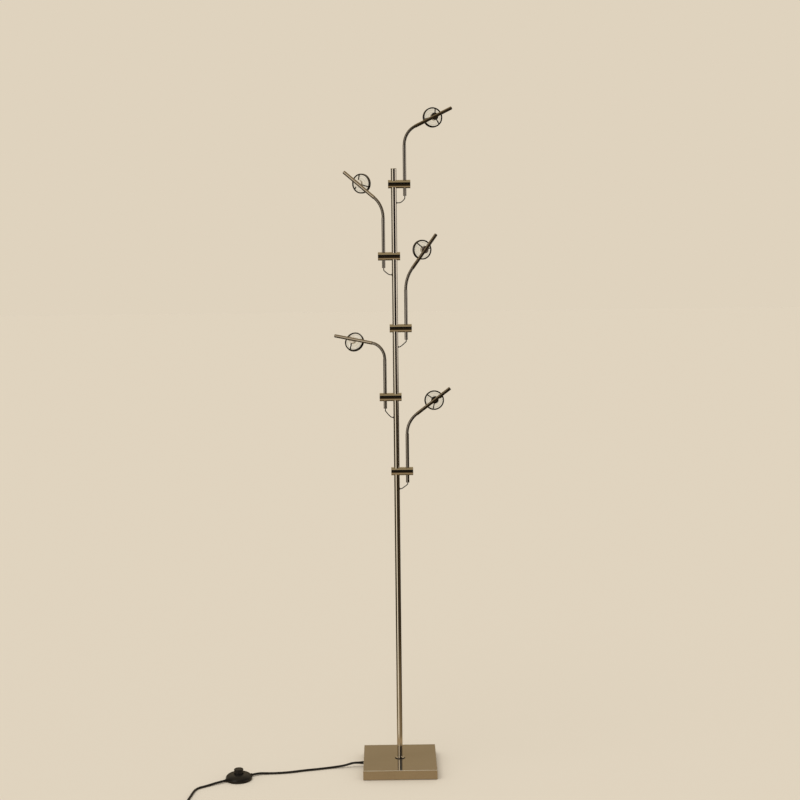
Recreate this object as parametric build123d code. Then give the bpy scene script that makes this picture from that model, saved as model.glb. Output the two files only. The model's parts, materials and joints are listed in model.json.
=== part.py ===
from build123d import *

import os
from math import cos, hypot, pi, radians, sin, tan

# Tree floor lamp, in millimetres: five lens spotlights on goosenecks, clamped one above the
# other on a pole that stands on a heavy square base. +Z is up, +X is to the right and +Y points
# away from the viewer, towards the wall that the lamp lights. The origin is on the pole's axis,
# on the floor.

# ---------------------------------------------------------------- driving dimensions
FIT = 0.05  # clearance of a fixed or turning fit, each side
SEAT = 0.1  # gap between two faces that meet across a joint
SIDES = 24  # flat sides of the small round pieces
SMALL_SIDES = 12  # flat sides of the necks and other thin ones

BASE_SIDE = 200.0
BASE_HEIGHT = 27.0
BASE_WALL = 1.5
BASE_TOP_BEVEL = 1.2
FOOT_SIDE = 18.0
FOOT_THICKNESS = 1.5
FOOT_INSET = 20.0
PLATE_THICKNESS = 1.5
DRIVER_SIZE = (62.0, 36.0, 15.0)
DRIVER_X = -54.0
DRIVER_POCKET_GAP = 1.0
WIRE_SLOT_WIDTH = 8.0
WIRE_SLOT_HEIGHT = 7.0

POLE_RADIUS = 7.5
POLE_WALL = 1.2
POLE_TOP = 1631.0
POLE_FOOT = 4.5
NUT_ACROSS_FLATS = 24.0
NUT_HEIGHT = 6.0
NUT_TOP = 12.0
NUT_WELL_SIDE = 30.0
COLLAR_RADIUS = 14.0
COLLAR_HEIGHT = 3.2
CAP_RADIUS = 8.0
CAP_THICKNESS = 2.0
CAP_SPIGOT = 8.0

CLAMP_RADIUS = 11.0
CLAMP_LENGTH = 59.0
ARM_OFFSET = 29.0  # from the pole's axis to an arm's

TUBE_RADIUS = 4.5
TUBE_WALL = 1.0
TUBE_ABOVE = 102.0  # tube end above the clamp's axis
TUBE_BELOW = 31.0
NECK_RADIUS = 4.0
NECK_LENGTH = 61.0
NECK_LINKS = 6
SPIGOT_LENGTH = 6.0

# One arm per row, from the top: height of the clamp, side of the pole (+1 is right), swing
# towards the wall, bend of the neck, upward tilt of the lens, turn of the lens legs about the
# lens axis, then how far below the clamp the lead starts to bend, lies level and where that is.
ARMS = [
    # height side swing bend tilt legs  bend  level  at x
    (1592.0, 1, 18.0, 64.0, -4.0, 47.0, 39.0, 49.0, 18.0),
    (1402.5, -1, 26.0, 52.0, 3.0, 44.0, 38.0, 49.0, 15.0),
    (1211.0, 1, 22.0, 38.0, 1.0, 80.0, 36.0, 50.0, 13.0),
    (1026.5, -1, 25.0, 81.0, -25.0, 37.0, 38.0, 55.0, 14.0),
    (825.0, 1, 10.0, 54.0, -10.0, 105.0, 36.0, 48.0, 13.0),
]
LEAD_RADIUS = 1.3
LEAD_INSIDE = 5.0  # length hidden in the arm tube, and in the pole
LEAD_HOLE_GAP = 0.3

ROD_LENGTH = 114.0
LAMP_AT = 62.5  # from the neck to the lamp's axis, along the rod
HOLDER_RADIUS = 10.0
HOLDER_BACK = 1.5  # distances from here on are along the lens axis, from the rod's axis
HOLDER_FRONT = 11.5
BOARD_SIZE = 12.0
BOARD_THICKNESS = 1.4
RING_RADIUS = 26.5
RING_WALL = 2.2
RING_BACK = 18.0
RING_FRONT = 26.0
LEG_WIDTH = 3.0
LEG_THICKNESS = 2.0
LEG_COUNT = 3
LEG_START = 7.5
LEG_RISE_INTO_RING = 0.6
LENS_BACK = 20.0
LENS_EDGE = 3.5
LENS_CROWN = 4.5
LENS_SLOPES = 2  # below the flat middle

CORD_RADIUS = 3.0
CORD_SIDES = 4  # and of the leads
RELIEF_LENGTH = 20.0
RELIEF_RADIUS = 4.2
RELIEF_HEIGHT = 13.0
RELIEF_FLANGE = 6.0
RELIEF_FLANGE_THICKNESS = 2.0

SWITCH_CENTRE = (-436.6, -78.3)
SWITCH_AXIS = 31.0  # direction of the cord through the switch, in degrees from +X
SWITCH_RADIUS = 35.5
SWITCH_RIM = 5.0
SWITCH_HEIGHT = 17.4
SWITCH_SHOULDER = (29.0, 13.0)  # radius and height where the dome's two slopes meet
SWITCH_TOP_RADIUS = 15.5
SWITCH_WALL = 2.5
SWITCH_PLATE = 3.0
SWITCH_STAND = 0.5  # the plate stands this far below the cover's rim
NUB_REACH = 41.0  # from the switch's axis to where a cord leaves it
NUB_STRAIGHT = 20.0  # run of the cord straight out of a nub
NUB_RADIUS = 4.4
CORD_AT_SWITCH = 5.0
BUTTON_RADIUS = 12.5
BUTTON_TOP = 30.0
BUTTON_CHAMFER = 1.5
BUTTON_TRAVEL = 4.0
BUTTON_STOP_GAP = 1.0

COIL_CENTRE = (-512.0, -304.0)
COIL_RADIUS = 44.0
COIL_PITCH = 6.5  # from one turn to the next, across and up
COIL_HALF_TURNS = 5  # in each of the two layers
COIL_CLIMB_STEP = 1.3  # the half turn that climbs runs this much closer to the centre
COIL_TAIL = (32.0, -5.0)  # from the last turn to the plug, along and across

PLUG_LENGTH = 34.0
PLUG_WIDTH = 26.0
PLUG_BACK_WIDTH = 13.0
PLUG_THICKNESS = 13.6
PLUG_RELIEF = 14.0
PLUG_RELIEF_RADIUS = 3.8
PIN_RADIUS = 2.0
PIN_LENGTH = 19.0
PIN_SPACING = 19.0

# ---------------------------------------------------------------- sizes worked out from them
COVER_TOP_INSIDE = BASE_HEIGHT - BASE_WALL
COVER_INSIDE = BASE_SIDE - 2 * BASE_WALL
PLATE_TOP = FOOT_THICKNESS + PLATE_THICKNESS
POLE_BORE = POLE_RADIUS - POLE_WALL
TUBE_BORE = TUBE_RADIUS - TUBE_WALL
SPIGOT_RADIUS = TUBE_BORE - FIT
LENS_SEAT_RADIUS = RING_RADIUS - RING_WALL
LENS_RADIUS = LENS_SEAT_RADIUS - FIT
COIL_BOTTOM = CORD_RADIUS
COIL_TOP = CORD_RADIUS + COIL_PITCH
UP = Vector(0, 0, 1)


def switch_point(reach):
    """Point on the axis of the cord through the switch; a positive reach is towards the base."""
    angle = radians(SWITCH_AXIS)
    x = SWITCH_CENTRE[0] + reach * cos(angle)
    y = SWITCH_CENTRE[1] + reach * sin(angle)
    return (x, y, CORD_AT_SWITCH)


# Routes of the cord's two free stretches, along the floor from the base to the switch and on
# to the coil. The ends are square to what they meet.
CORD_IN = [
    (-BASE_SIDE / 2 - RELIEF_LENGTH, 0, RELIEF_HEIGHT),
    (-135, 0, RELIEF_HEIGHT),
    (-161, -3, 7.2),
    (-191, -6, 3.2),
    (-227, -18, 3.0),
    (-263, -26, 3.0),
    (-298, -37.5, 3.0),
    (-333, -43.5, 3.0),
    (-362, -44.5, 3.0),
    switch_point(NUB_REACH + NUB_STRAIGHT),
    switch_point(NUB_REACH),
]
CORD_OUT = [
    switch_point(-NUB_REACH),
    switch_point(-NUB_REACH - NUB_STRAIGHT),
    (-515, -128, 3.0),
    (-543, -147, 3.0),
    (-549, -189, 3.0),
    (-554, -234, 3.0),
    (-556, -272, 3.0),
    (COIL_CENTRE[0] - COIL_RADIUS, COIL_CENTRE[1] + 2 * CORD_RADIUS, COIL_BOTTOM),
]


# ---------------------------------------------------------------- helpers
def rod(radius, length, plane=Plane.XY):
    """Cylinder from the plane along its normal."""
    return plane * Cylinder(radius, length, align=(Align.CENTER, Align.CENTER, Align.MIN))


def block(x, y, z, low=(0, 0, 0)):
    """Box centred on low in X and Y, standing on it in Z."""
    box = Box(x, y, z, align=(Align.CENTER, Align.CENTER, Align.MIN))
    return Pos(*low) * box


def faceted(outline, sides, plane=Plane.XY):
    """Body of flat facets about the plane's normal, through (radius, height) points."""
    turns = [2 * pi * side / sides for side in range(sides)]
    rings = [
        [plane.from_local_coords((radius * cos(t), radius * sin(t), height)) for t in turns]
        for radius, height in outline
    ]
    outlines = [rings[0][::-1], rings[-1]]
    for low, high in zip(rings, rings[1:]):
        for side in range(sides):
            outlines.append([low[side - 1], low[side], high[side], high[side - 1]])
    return Solid(Shell([Face(Wire.make_polygon(corners)) for corners in outlines]))


def sided(radius, length, sides, plane=Plane.XY):
    """Prism with flat sides, from the plane along its normal."""
    return faceted([(radius, 0), (radius, length)], sides, plane)


def sided_bore(radius, length, plane=Plane.XY):
    """Prism whose flat sides touch a cylinder of this radius from outside."""
    return sided(radius / cos(pi / SIDES), length, SIDES, plane)


def cord_section(plane, radius):
    """Section of a cord or lead, with a flat side down where it lies level."""
    return plane * RegularPolygon(radius, CORD_SIDES, rotation=180 / CORD_SIDES)


def along(start, direction, x_direction=None):
    """Plane whose normal runs along a direction."""
    if x_direction is None:
        return Plane(origin=start, z_dir=direction)
    return Plane(origin=start, x_dir=x_direction, z_dir=direction)


def save(name, shape):
    export_step(shape, f"parts/{name}.step")


def group(name, solids):
    save(name, Compound(children=list(solids)))


# ---------------------------------------------------------------- base
def base_cover():
    height = BASE_HEIGHT - FOOT_THICKNESS
    cover = block(BASE_SIDE, BASE_SIDE, height, (0, 0, FOOT_THICKNESS))
    cover = chamfer(cover.faces().sort_by(Axis.Z)[-1].edges(), BASE_TOP_BEVEL)
    inside = block(COVER_INSIDE, COVER_INSIDE, height - BASE_WALL, (0, 0, FOOT_THICKNESS))
    pole_hole = rod(POLE_RADIUS + FIT, BASE_HEIGHT)
    cord_hole = rod(RELIEF_RADIUS + FIT, BASE_SIDE, Plane((0, 0, RELIEF_HEIGHT), z_dir=(-1, 0, 0)))
    return cover - inside - pole_hole - cord_hole


def base_plate():
    side = COVER_INSIDE - 2 * SEAT
    return block(side, side, PLATE_THICKNESS, (0, 0, FOOT_THICKNESS))


def base_feet():
    place = BASE_SIDE / 2 - FOOT_INSET
    places = GridLocations(2 * place, 2 * place, 2, 2)
    return [where * block(FOOT_SIDE, FOOT_SIDE, FOOT_THICKNESS) for where in places]


def base_weight():
    side = COVER_INSIDE - 2 * SEAT
    weight = block(side, side, COVER_TOP_INSIDE - PLATE_TOP, (0, 0, PLATE_TOP))
    length, width, height = (size + 2 * DRIVER_POCKET_GAP for size in DRIVER_SIZE)
    pocket = block(length, width, height, (DRIVER_X, 0, PLATE_TOP))
    pocket_end = DRIVER_X - length / 2
    channel_length = pocket_end + side / 2
    channel_width = 2 * (RELIEF_FLANGE + DRIVER_POCKET_GAP)
    channel = block(
        channel_length,
        channel_width,
        RELIEF_HEIGHT + RELIEF_FLANGE + DRIVER_POCKET_GAP - PLATE_TOP,
        (pocket_end - channel_length / 2, 0, PLATE_TOP),
    )
    wire_slot = block(-DRIVER_X, WIRE_SLOT_WIDTH, WIRE_SLOT_HEIGHT, (DRIVER_X / 2, 0, PLATE_TOP))
    pole_bore = rod(POLE_RADIUS + FIT, BASE_HEIGHT)
    nut_well = block(NUT_WELL_SIDE, NUT_WELL_SIDE, NUT_TOP)
    return weight - pocket - channel - wire_slot - pole_bore - nut_well


def led_driver():
    case = block(*DRIVER_SIZE, (DRIVER_X, 0, PLATE_TOP))
    return chamfer(case.edges().filter_by(Axis.Z), 2 * DRIVER_POCKET_GAP)


# ---------------------------------------------------------------- pole
def pole():
    tube = rod(POLE_RADIUS, POLE_TOP - POLE_FOOT, Plane((0, 0, POLE_FOOT)))
    tube -= rod(POLE_BORE, POLE_TOP, Plane.XY)
    for arm in arms:
        hole = cord_section(arm.pole_hole, LEAD_RADIUS + LEAD_HOLE_GAP)
        tube -= extrude(hole, POLE_RADIUS + FIT)
    return tube


def pole_nut():
    corner = NUT_ACROSS_FLATS / 2 / cos(radians(30))
    nut = sided(corner, NUT_HEIGHT, 6, Plane((0, 0, NUT_TOP - NUT_HEIGHT)))
    return nut - sided_bore(POLE_RADIUS + FIT, BASE_HEIGHT)


def pole_collar():
    plane = Plane((0, 0, BASE_HEIGHT))
    collar = sided(COLLAR_RADIUS, COLLAR_HEIGHT, SIDES, plane)
    return collar - sided_bore(POLE_RADIUS + FIT, COLLAR_HEIGHT, plane)


def pole_cap():
    head = sided(CAP_RADIUS, CAP_THICKNESS, SIDES, Plane((0, 0, POLE_TOP)))
    spigot_plane = Plane((0, 0, POLE_TOP - CAP_SPIGOT))
    return head + sided(POLE_BORE - FIT, CAP_SPIGOT, SMALL_SIDES, spigot_plane)


# ---------------------------------------------------------------- arms
class Arm:
    """Places and directions of one arm, worked out from its row in ARMS."""

    def __init__(self, number, row):
        height, side, swing, bend, tilt, legs, lead_bend, lead_level, lead_x = row
        self.number = number
        self.height = height
        self.side = side
        self.bend = bend
        self.clamp_start = Vector(side * (ARM_OFFSET / 2 - CLAMP_LENGTH / 2), 0, height)
        self.foot = Vector(side * ARM_OFFSET, 0, height - TUBE_BELOW)
        self.neck_start = Vector(side * ARM_OFFSET, 0, height + TUBE_ABOVE)
        self.heading = Vector(side * cos(radians(swing)), sin(radians(swing)), 0)
        self.bend_axis = UP.cross(self.heading)
        self.neck_centre = self.neck_start + self.heading * (NECK_LENGTH / radians(bend))
        self.rod_axis = self.heading * sin(radians(bend)) + UP * cos(radians(bend))
        turn = Axis(self.neck_centre, self.bend_axis)
        self.neck_end = Vertex(*self.neck_start).rotate(turn, bend).center()
        level_aim = Vector(-side * sin(radians(swing)), cos(radians(swing)), 0)
        upper_side = self.rod_axis.cross(level_aim) * side
        self.aim = level_aim * cos(radians(tilt)) + upper_side * sin(radians(tilt))
        self.lamp = along(self.neck_end + self.rod_axis * LAMP_AT, self.aim, self.rod_axis)
        self.leg_angles = [-side * (legs + 360 / LEG_COUNT * leg) for leg in range(LEG_COUNT)]
        level = height - lead_level
        self.lead_points = [
            (side * ARM_OFFSET, 0, height - TUBE_BELOW + LEAD_INSIDE),
            (side * ARM_OFFSET, 0, height - lead_bend),
            (side * lead_x, 0, level),
            (side * (POLE_BORE - LEAD_INSIDE + POLE_WALL), 0, level),
        ]
        self.pole_hole = Plane((0, 0, level), z_dir=(side, 0, 0))


arms = [Arm(number, row) for number, row in enumerate(ARMS, 1)]


def clamp(arm):
    """Round bar with one bore for the pole and one for the arm tube."""
    body = sided(CLAMP_RADIUS, CLAMP_LENGTH, SIDES, along(arm.clamp_start, (arm.side, 0, 0)))
    low = arm.height - CLAMP_RADIUS
    for x, radius in ((0, POLE_RADIUS), (arm.side * ARM_OFFSET, TUBE_RADIUS)):
        body -= sided_bore(radius + FIT, 2 * CLAMP_RADIUS, Plane((x, 0, low)))
    return body


def arm_tube(arm):
    length = TUBE_ABOVE + TUBE_BELOW - SEAT
    plane = along(arm.foot, UP, arm.heading)
    return rod(TUBE_RADIUS, length, plane) - sided(TUBE_BORE, length, SMALL_SIDES, plane)


def neck(arm):
    """Bent gooseneck of straight links, with a spigot that sits in the arm tube."""
    start = along(arm.neck_start, UP, arm.heading)
    section = start * RegularPolygon(NECK_RADIUS, SMALL_SIDES)
    turn = Axis(arm.neck_centre, arm.bend_axis)
    steps = range(NECK_LINKS + 1)
    bend = loft([section.rotate(turn, arm.bend * step / NECK_LINKS) for step in steps], ruled=True)
    spigot_plane = along(arm.neck_start - UP * SPIGOT_LENGTH, UP, arm.heading)
    return bend + sided(SPIGOT_RADIUS, SPIGOT_LENGTH, SMALL_SIDES, spigot_plane)


def lead(arm):
    return bent_tube(arm.lead_points, LEAD_RADIUS, f"lead {arm.number}")


# ---------------------------------------------------------------- lamp heads
def head_rod(arm):
    start = arm.neck_end + arm.rod_axis * SEAT
    return rod(TUBE_RADIUS, ROD_LENGTH, along(start, arm.rod_axis))


def led_holder(arm):
    """Round heat sink whose back is hollowed to sit on the rod."""
    depth = HOLDER_FRONT - HOLDER_BACK
    holder = sided(HOLDER_RADIUS, depth, SIDES, Plane((0, 0, HOLDER_BACK)))
    across = Plane((-2 * HOLDER_RADIUS, 0, 0), z_dir=(1, 0, 0))
    return arm.lamp * (holder - rod(TUBE_RADIUS + FIT, 4 * HOLDER_RADIUS, across))


def led_board(arm):
    return arm.lamp * block(BOARD_SIZE, BOARD_SIZE, BOARD_THICKNESS, (0, 0, HOLDER_FRONT))


def lens_frame(arm):
    """Ring that holds the lens, on slanting legs that rise from the holder."""
    depth = RING_FRONT - RING_BACK
    plane = Plane((0, 0, RING_BACK))
    ring = sided(RING_RADIUS, depth, SIDES, plane) - sided(LENS_SEAT_RADIUS, depth, SIDES, plane)
    foot = Vector(HOLDER_RADIUS - LEG_THICKNESS, 0, LEG_START)
    top = Vector(RING_RADIUS - RING_WALL / 2, 0, RING_BACK + LEG_RISE_INTO_RING)
    leg = along(foot, top - foot, (0, 1, 0)) * block(LEG_WIDTH, LEG_THICKNESS, (top - foot).length)
    for angle in arm.leg_angles:
        ring += Rot(0, 0, angle) * leg
    return arm.lamp * (ring - sided(HOLDER_RADIUS + FIT, RING_BACK, SIDES))


def lens(arm):
    """Lens that is flat towards the light source and crowned towards the wall."""
    edge = LENS_BACK + LENS_EDGE
    outline = [(LENS_RADIUS, LENS_BACK)]
    for slope in range(LENS_SLOPES + 1):
        angle = radians(90 * slope / (LENS_SLOPES + 1))
        outline.append((LENS_RADIUS * cos(angle), edge + LENS_CROWN * sin(angle)))
    return faceted(outline, SIDES, arm.lamp)


# ---------------------------------------------------------------- cord
def bent_tube(points, radius, name):
    """Tube of straight runs joined by arcs as large as the runs allow."""
    points = [Vector(*point) for point in points]
    runs = [after - before for before, after in zip(points, points[1:])]
    radii = []
    for run, following in zip(runs, runs[1:]):
        turn = radians(run.get_angle(following))
        radii.append(0.45 * min(run.length, following.length) / tan(turn / 2))
    path = FilletPolyline(*points, radius=radii)
    section = cord_section(along(points[0], runs[0]), radius)
    tube = sweep(section, path=path)
    expected = section.area * path.length
    print(
        f"{name}: length {path.length:.0f}, tightest radius {min(radii):.1f} of",
        [round(value) for value in radii],
        f"volume over section times length {tube.volume / expected:.4f}",
    )
    return tube


def biarc(start, start_tangent, end, end_tangent):
    """Two tangent arcs from one point and direction to another."""
    chord = end - start
    both = start_tangent + end_tangent
    a = 2 * (start_tangent.dot(end_tangent) - 1)
    b = chord.dot(both)
    c = chord.dot(chord)
    reach = (b - (b * b - a * c) ** 0.5) / a if abs(a) > 1e-9 else c / (2 * b)
    middle = (start + end + (start_tangent - end_tangent) * reach) * 0.5
    first = TangentArc(start, middle, tangent=start_tangent)
    second = TangentArc(middle, end, tangent=first % 1)
    return [first, second]


def coil_stations():
    """Points and directions at each half turn: spiral in below, climb, spiral out above."""
    centre = Vector(*COIL_CENTRE, 0)
    stations = []
    for half_turn in range(2 * COIL_HALF_TURNS + 1):
        side = -1 if half_turn % 2 == 0 else 1
        upper = half_turn > COIL_HALF_TURNS
        inward = 2 * COIL_HALF_TURNS + 1 - half_turn if upper else half_turn
        radius = COIL_RADIUS - inward * COIL_PITCH / 2
        if inward == COIL_HALF_TURNS:
            radius -= COIL_CLIMB_STEP
        height = COIL_TOP if upper else COIL_BOTTOM
        stations.append((centre + Vector(side * radius, 0, height), Vector(0, side, 0)))
    last_radius = COIL_RADIUS - COIL_PITCH / 4
    leave = centre + Vector(0, -last_radius, COIL_TOP)
    stations.append((leave, Vector(1, 0, 0)))
    tail = Vector(*COIL_TAIL, PLUG_THICKNESS / 2 - COIL_TOP)
    stations.append((leave + tail, Vector(1, 0, 0)))
    return stations


def cord_coil():
    """The length put away: one unbroken tube in two layers, with a straight end each way."""
    stations = coil_stations()
    straight = 2 * CORD_RADIUS
    start, start_direction = stations[0]
    end, end_direction = stations[-1]
    pieces = [Line(start - start_direction * straight, start)]
    for (a, a_direction), (b, b_direction) in zip(stations, stations[1:]):
        pieces += biarc(a, a_direction, b, b_direction)
    pieces.append(Line(end, end + end_direction * straight))
    path = Wire(pieces)
    section = cord_section(along(path @ 0, start_direction), CORD_RADIUS)
    print(f"coil: length {path.length:.0f}, least gap to itself {least_self_gap(path):.2f}")
    return sweep(section, path=path)


def least_self_gap(path):
    """Smallest distance between two stretches of the tube's surface that aren't neighbours."""
    count = int(path.length / 2)
    points = [path @ (step / count) for step in range(count + 1)]
    spacing = path.length / count
    apart = int(4 * CORD_RADIUS / spacing) + 1
    least = min(
        hypot(a.X - b.X, a.Y - b.Y, a.Z - b.Z)
        for first, a in enumerate(points)
        for b in points[first + apart :]
    )
    return least - 2 * CORD_RADIUS


def cord_relief():
    """Moulded strain relief: flange inside the cover, tapered sleeve outside, core to the driver."""
    wall = BASE_SIDE / 2
    inside = wall - BASE_WALL
    out = Plane((0, 0, RELIEF_HEIGHT), x_dir=(0, 1, 0), z_dir=(-1, 0, 0))
    core_start = -DRIVER_X + DRIVER_SIZE[0] / 2
    relief = faceted([(CORD_RADIUS, core_start), (CORD_RADIUS, inside)], SMALL_SIDES, out)
    flange_back = inside - RELIEF_FLANGE_THICKNESS
    relief += faceted([(RELIEF_FLANGE, flange_back), (RELIEF_FLANGE, inside)], SMALL_SIDES, out)
    sleeve = [
        (RELIEF_RADIUS, flange_back),
        (RELIEF_RADIUS, wall + RELIEF_RADIUS),
        (CORD_RADIUS, wall + RELIEF_LENGTH),
    ]
    return relief + faceted(sleeve, SMALL_SIDES, out)


# ---------------------------------------------------------------- foot switch and plug
def at_switch(shape):
    return Pos(*SWITCH_CENTRE) * Rot(0, 0, SWITCH_AXIS) * shape


def switch_base():
    return at_switch(sided(SWITCH_RADIUS - SWITCH_WALL - FIT, SWITCH_PLATE, SIDES))


def switch_cover():
    """Domed cover with a hole for the button and a nub at each cord."""
    outer = faceted(
        [
            (SWITCH_RADIUS, SWITCH_STAND),
            (SWITCH_RADIUS, SWITCH_RIM),
            SWITCH_SHOULDER,
            (SWITCH_TOP_RADIUS, SWITCH_HEIGHT),
        ],
        SIDES,
    )
    inner = sided(SWITCH_RADIUS - SWITCH_WALL, SWITCH_RIM, SIDES)
    inner += sided(SWITCH_SHOULDER[0] - SWITCH_WALL, SWITCH_SHOULDER[1] - SWITCH_WALL, SIDES)
    nub_start = SWITCH_RADIUS - SWITCH_WALL
    for side in (1, -1):
        nub_plane = Plane((side * nub_start, 0, CORD_AT_SWITCH), z_dir=(side, 0, 0))
        outer += sided(NUB_RADIUS, NUB_REACH - nub_start, SMALL_SIDES, nub_plane)
    return at_switch(outer - inner - sided(BUTTON_RADIUS + SEAT, SWITCH_HEIGHT, SIDES))


def switch_button():
    outline = [
        (BUTTON_RADIUS, SWITCH_PLATE + BUTTON_TRAVEL + BUTTON_STOP_GAP),
        (BUTTON_RADIUS, BUTTON_TOP - BUTTON_CHAMFER),
        (BUTTON_RADIUS - BUTTON_CHAMFER, BUTTON_TOP),
    ]
    return at_switch(faceted(outline, SIDES))


def mains_plug():
    """Flat two-pin plug at the end of the coil: a moulded body and its two pins."""
    end, direction = coil_stations()[-1]
    start = end + direction * 2 * CORD_RADIUS
    widest = PLUG_RELIEF + PLUG_LENGTH * 0.45
    front = PLUG_RELIEF + PLUG_LENGTH
    half, back = PLUG_WIDTH / 2, PLUG_BACK_WIDTH / 2
    outline = Polyline(
        (PLUG_RELIEF, -back),
        (widest, -half),
        (front, -half),
        (front, half),
        (widest, half),
        (PLUG_RELIEF, back),
        close=True,
    )
    body = extrude(make_face(outline), PLUG_THICKNESS / 2, both=True)
    ahead = Plane((0, 0, 0), x_dir=(0, 1, 0), z_dir=(1, 0, 0))
    solids = [body + sided(PLUG_RELIEF_RADIUS, PLUG_RELIEF, SMALL_SIDES, ahead)]
    for y in (-PIN_SPACING / 2, PIN_SPACING / 2):
        pin = sided(PIN_RADIUS, PIN_LENGTH, SMALL_SIDES, ahead)
        solids.append(Pos(front, y, 0) * pin)
    return [Pos(*start) * solid for solid in solids]


# ---------------------------------------------------------------- the lamp
os.makedirs("parts", exist_ok=True)

save("base_cover", base_cover())
save("base_plate", base_plate())
group("base_feet", base_feet())
save("base_weight", base_weight())
save("led_driver", led_driver())

save("pole", pole())
save("pole_nut", pole_nut())
save("pole_collar", pole_collar())
save("pole_cap", pole_cap())

group("clamps", [clamp(arm) for arm in arms])
for arm in arms:
    save(f"arm_tube_{arm.number}", arm_tube(arm))
    save(f"neck_{arm.number}", neck(arm))
    save(f"head_rod_{arm.number}", head_rod(arm))
    save(f"led_holder_{arm.number}", led_holder(arm))
    save(f"led_board_{arm.number}", led_board(arm))
    save(f"lens_frame_{arm.number}", lens_frame(arm))
    save(f"lens_{arm.number}", lens(arm))
group("arm_leads", [lead(arm) for arm in arms])

save("cord_relief", cord_relief())
save("mains_cord", bent_tube(CORD_IN, CORD_RADIUS, "cord to the switch"))
save("mains_cord_out", bent_tube(CORD_OUT, CORD_RADIUS, "cord from the switch"))
save("cord_coil", cord_coil())
save("switch_base", switch_base())
save("switch_cover", switch_cover())
save("switch_button", switch_button())
group("mains_plug", mains_plug())
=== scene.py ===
import json
from math import acos, cos, pi, radians, sin, sqrt

import bmesh
import bpy
from mathutils import Matrix, Vector

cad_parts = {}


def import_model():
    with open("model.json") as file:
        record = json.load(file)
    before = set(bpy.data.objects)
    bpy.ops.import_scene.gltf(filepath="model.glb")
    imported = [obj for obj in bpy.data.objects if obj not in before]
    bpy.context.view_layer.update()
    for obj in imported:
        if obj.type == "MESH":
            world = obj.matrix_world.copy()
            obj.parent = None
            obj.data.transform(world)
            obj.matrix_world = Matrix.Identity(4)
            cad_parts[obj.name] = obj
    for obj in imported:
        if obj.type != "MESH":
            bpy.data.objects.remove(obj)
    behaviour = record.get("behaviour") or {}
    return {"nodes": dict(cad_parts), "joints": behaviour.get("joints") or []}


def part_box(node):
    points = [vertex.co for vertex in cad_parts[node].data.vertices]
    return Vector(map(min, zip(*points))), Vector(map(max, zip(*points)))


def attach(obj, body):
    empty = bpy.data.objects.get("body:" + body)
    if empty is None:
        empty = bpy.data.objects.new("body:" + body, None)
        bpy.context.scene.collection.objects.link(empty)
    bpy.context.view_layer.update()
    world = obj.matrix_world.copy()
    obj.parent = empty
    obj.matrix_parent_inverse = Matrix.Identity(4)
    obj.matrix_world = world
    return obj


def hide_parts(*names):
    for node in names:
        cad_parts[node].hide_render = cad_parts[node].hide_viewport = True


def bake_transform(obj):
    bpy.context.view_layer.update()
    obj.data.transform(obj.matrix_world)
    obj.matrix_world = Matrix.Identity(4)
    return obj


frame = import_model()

# Looks of a tree floor lamp in metres: a polished nickel pole on a square base, five gooseneck
# lens spotlights clamped to it, and a mains cord with a foot switch. Sizes and places are
# measured on the frame's nodes wherever it has them.

UP = Vector((0, 0, 1))
LEFT = Vector((-1, 0, 0))
RIGHT = Vector((1, 0, 0))
BACK = Vector((0, 1, 0))
ARM_COUNT = 5
SIDES = 96  # round pieces
SMALL_SIDES = 40  # thin ones
EDGE = 0.0003  # rounding of machined edges

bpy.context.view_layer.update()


# ------------------------------------------------------------------ measuring the frame
def vertices(node):
    """Places of a node's vertices."""
    return [vertex.co for vertex in frame["nodes"][node].data.vertices]


def reach(node, origin, axis):
    """Lowest and highest distance of a node along an axis, and its largest radius about it."""
    offsets = [point - origin for point in vertices(node)]
    heights = [offset.dot(axis) for offset in offsets]
    radius = max((offset - axis * height).length for offset, height in zip(offsets, heights))
    return min(heights), max(heights), radius


def middle(node):
    """Mean of a node's vertices, which is on the axis of a round node."""
    found = vertices(node)
    return sum(found, Vector()) / len(found)


def joint(name):
    """Place and axis of a joint."""
    found = next(item for item in frame["joints"] if item["name"] == name)
    return Vector(found["pos_m"]), Vector(found["axis"]).normalized()


class Arm:
    """Places and directions of one arm, read from its joints and its lens."""

    def __init__(self, number):
        self.number = number
        self.foot, swivel_axis = joint(f"arm_{number}_swivel")
        self.side = swivel_axis.z
        self.neck_start, self.bend_axis = joint(f"neck_{number}_bend")
        self.neck_end, _ = joint(f"head_{number}_bend")
        self.heading = self.bend_axis.cross(UP)
        chord = self.neck_end - self.neck_start
        self.bend = 2 * acos(chord.normalized().dot(UP))
        self.bend_radius = chord.length / (2 * sin(self.bend / 2))
        self.rod_axis = self.heading * sin(self.bend) + UP * cos(self.bend)
        to_lens = middle(f"lens_{number}") - self.neck_end
        self.lamp = self.neck_end + self.rod_axis * to_lens.dot(self.rod_axis)
        self.aim = (middle(f"lens_{number}") - self.lamp).normalized()


# ------------------------------------------------------------------ building pieces
def placed(origin, z_axis, x_axis=None):
    """Matrix of a place whose Z runs along an axis."""
    z = z_axis.normalized()
    y = z.cross(x_axis or z.orthogonal()).normalized()
    return Matrix.Translation(origin) @ Matrix((y.cross(z), y, z)).transposed().to_4x4()


def lathe(outline, sides=SIDES):
    """Outline of (radius, height) points turned about Z, from axis to axis or closed."""
    bm = bmesh.new()
    rings = []
    for radius, height in outline:
        turns = [2 * pi * side / sides for side in range(sides if radius else 1)]
        rings.append([bm.verts.new((radius * cos(t), radius * sin(t), height)) for t in turns])
    pairs = list(zip(rings, rings[1:]))
    if outline[0][0]:
        pairs.append((rings[-1], rings[0]))
    for low, high in pairs:
        for side in range(sides):
            here, there = side, (side + 1) % sides
            loop = [ring[turn % len(ring)] for ring, turn in
                    ((low, here), (low, there), (high, there), (high, here))]
            bm.faces.new(list(dict.fromkeys(loop)))
    return bm


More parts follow.
